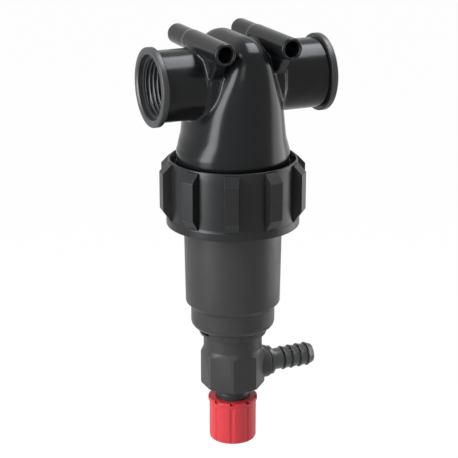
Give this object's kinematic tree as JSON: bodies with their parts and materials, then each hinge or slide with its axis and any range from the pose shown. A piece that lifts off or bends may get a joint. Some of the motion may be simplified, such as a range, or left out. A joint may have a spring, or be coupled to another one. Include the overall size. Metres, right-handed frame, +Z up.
{
  "type": "inline filter",
  "caption": "Inline strainer with female threaded ports, a screwed-on bowl under a ribbed ring nut, a cartridge inside and a drain valve with a hose tail and knob below.",
  "frame": {"origin": "where the axis of the two ports crosses the axis of the bowl", "axes": "+X along the port axis from the inlet to the outlet, +Y along the mounting tubes from the pictured front to the back, +Z up along the bowl's axis"},
  "size_m": [0.1025, 0.0822, 0.2387],
  "materials": {
    "head_moulding": "glossy black",
    "nut_moulding": "satin black",
    "bowl_moulding": "satin warm dark grey",
    "tail_moulding": "glossy black",
    "knob_moulding": "satin red",
    "cage_moulding": "satin off-white",
    "seal_rubber": "matt black",
    "stainless": "stainless steel"
  },
  "bodies": {
    "head": {"head_body": "head_moulding", "head_skirt": "head_moulding", "head_spigot": "head_moulding", "inlet_port": "head_moulding", "outlet_port": "head_moulding", "mounting_tube_left": "head_moulding", "mounting_tube_right": "head_moulding"},
    "bowl": {"bowl": "bowl_moulding", "bowl_o_ring": "seal_rubber", "cartridge_top_ring": "cage_moulding", "cartridge_top_seal": "seal_rubber", "cartridge_frame": "cage_moulding", "cartridge_mesh": "stainless", "cartridge_bottom_cap": "cage_moulding"},
    "nut": {"ring_nut": "nut_moulding"},
    "drain": {"drain_body": "bowl_moulding", "drain_body_o_ring": "seal_rubber", "hose_tail": "tail_moulding", "hose_tail_o_ring": "seal_rubber"},
    "poppet": {"poppet_stem": "tail_moulding", "poppet_seal": "seal_rubber", "stem_upper_o_ring": "seal_rubber", "stem_lower_o_ring": "seal_rubber"},
    "knob": {"drain_knob": "knob_moulding", "knob_screw": "stainless"}
  },
  "joints": [
    {"name": "bowl_drop", "type": "slide", "parent": "head", "child": "bowl", "axis": [0, 0, -1], "range_m": [0, 0.022]},
    {"name": "nut_turn", "type": "hinge", "parent": "bowl", "child": "nut", "pos_m": [0, 0, -0.062], "axis": [0, 0, -1], "range_deg": [0, 1980]},
    {"name": "drain_turn", "type": "hinge", "parent": "bowl", "child": "drain", "pos_m": [0, 0, -0.15], "axis": [0, 0, 1], "range_deg": [-35, 0]},
    {"name": "poppet_lift", "type": "slide", "parent": "drain", "child": "poppet", "axis": [0, 0, 1], "range_m": [0, 0.006]},
    {"name": "knob_turn", "type": "hinge", "parent": "poppet", "child": "knob", "pos_m": [0, 0, -0.198], "axis": [0, 0, 1], "range_deg": [0, 720]}
  ],
  "couplings": [
    {"joint": "nut_turn", "follows": "bowl_drop", "rad_per_m": 1570.8},
    {"joint": "knob_turn", "follows": "poppet_lift", "rad_per_m": 2094.4}
  ]
}
